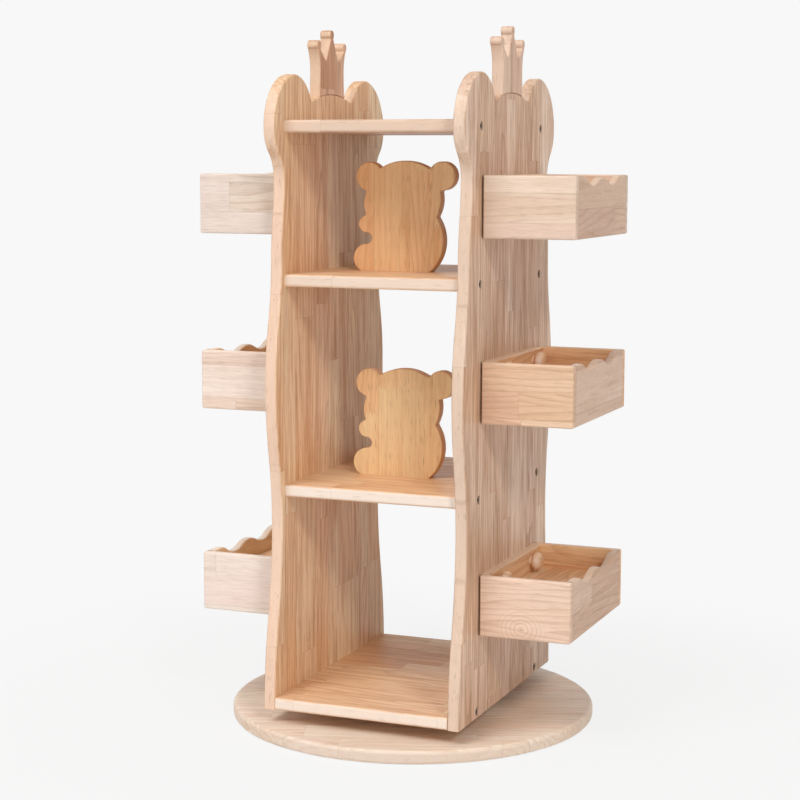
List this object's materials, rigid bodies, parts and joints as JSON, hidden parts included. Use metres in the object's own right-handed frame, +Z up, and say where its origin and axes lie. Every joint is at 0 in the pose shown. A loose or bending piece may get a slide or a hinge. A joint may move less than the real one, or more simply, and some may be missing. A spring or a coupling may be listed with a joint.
{
  "type": "revolving children's bookcase",
  "caption": "Free-standing wooden children's bookcase that revolves on a round base, with open shelves, bear-shaped dividers, crowned side panels and wavy-edged side bins.",
  "frame": {"origin": "middle of the round base's underside, on the floor", "axes": "+X towards the right side panel, +Y from the viewer to the back, +Z up"},
  "size_m": [0.58, 0.55, 1.032],
  "materials": {
    "panel_wood": "clear matt lacquer on finger-jointed hardwood",
    "shelf_wood": "clear matt lacquer on finger-jointed hardwood",
    "base_wood": "clear matt lacquer on finger-jointed hardwood",
    "bin_wood": "clear matt lacquer on finger-jointed hardwood",
    "bear_wood": "clear matt lacquer, warmer boards",
    "knob_wood": "clear matt lacquer",
    "dowel_wood": "bare",
    "ring_metal": "turned",
    "ball_steel": "polished",
    "cage_plastic": "moulded",
    "screw_steel": "zinc plated",
    "bolt_steel": "dark zinc",
    "insert_brass": "turned"
  },
  "bodies": {
    "base": {"base_disc": "base_wood", "bearing_outer_ring": "ring_metal", "base_ring_screws": "screw_steel"},
    "cage": {"bearing_cage": "cage_plastic", "bearing_balls": "ball_steel"},
    "cabinet": {"bearing_inner_ring": "ring_metal", "cabinet_ring_screws": "screw_steel", "bottom_board": "shelf_wood", "lower_shelf": "shelf_wood", "upper_shelf": "shelf_wood", "top_shelf": "shelf_wood", "left_panel": "panel_wood", "left_crown": "panel_wood", "right_panel": "panel_wood", "right_crown": "panel_wood", "crown_dowels": "dowel_wood", "lower_bear_divider": "bear_wood", "upper_bear_divider": "bear_wood", "bear_screws": "screw_steel", "left_shelf_bolts": "bolt_steel", "right_shelf_bolts": "bolt_steel", "left_lower_bin_back": "bin_wood", "left_lower_bin_front": "bin_wood", "left_lower_bin_near_wall": "bin_wood", "left_lower_bin_far_wall": "bin_wood", "left_lower_bin_floor": "bin_wood", "left_middle_bin_back": "bin_wood", "left_middle_bin_front": "bin_wood", "left_middle_bin_near_wall": "bin_wood", "left_middle_bin_far_wall": "bin_wood", "left_middle_bin_floor": "bin_wood", "left_upper_bin_back": "bin_wood", "left_upper_bin_front": "bin_wood", "left_upper_bin_near_wall": "bin_wood", "left_upper_bin_far_wall": "bin_wood", "left_upper_bin_floor": "bin_wood", "right_lower_bin_back": "bin_wood", "right_lower_bin_front": "bin_wood", "right_lower_bin_near_wall": "bin_wood", "right_lower_bin_far_wall": "bin_wood", "right_lower_bin_floor": "bin_wood", "right_middle_bin_back": "bin_wood", "right_middle_bin_front": "bin_wood", "right_middle_bin_near_wall": "bin_wood", "right_middle_bin_far_wall": "bin_wood", "right_middle_bin_floor": "bin_wood", "right_upper_bin_back": "bin_wood", "right_upper_bin_front": "bin_wood", "right_upper_bin_near_wall": "bin_wood", "right_upper_bin_far_wall": "bin_wood", "right_upper_bin_floor": "bin_wood", "bin_knobs": "knob_wood", "knob_studs": "screw_steel", "panel_inserts": "insert_brass"}
  },
  "joints": [
    {"name": "cabinet_turn", "type": "hinge", "parent": "base", "child": "cabinet", "pos_m": [0, 0, 0.0305], "axis": [0, 0, 1], "continuous": true},
    {"name": "cage_roll", "type": "hinge", "parent": "base", "child": "cage", "pos_m": [0, 0, 0.0305], "axis": [0, 0, 1], "continuous": true}
  ],
  "couplings": [
    {"joint": "cage_roll", "follows": "cabinet_turn", "ratio": 0.48}
  ]
}
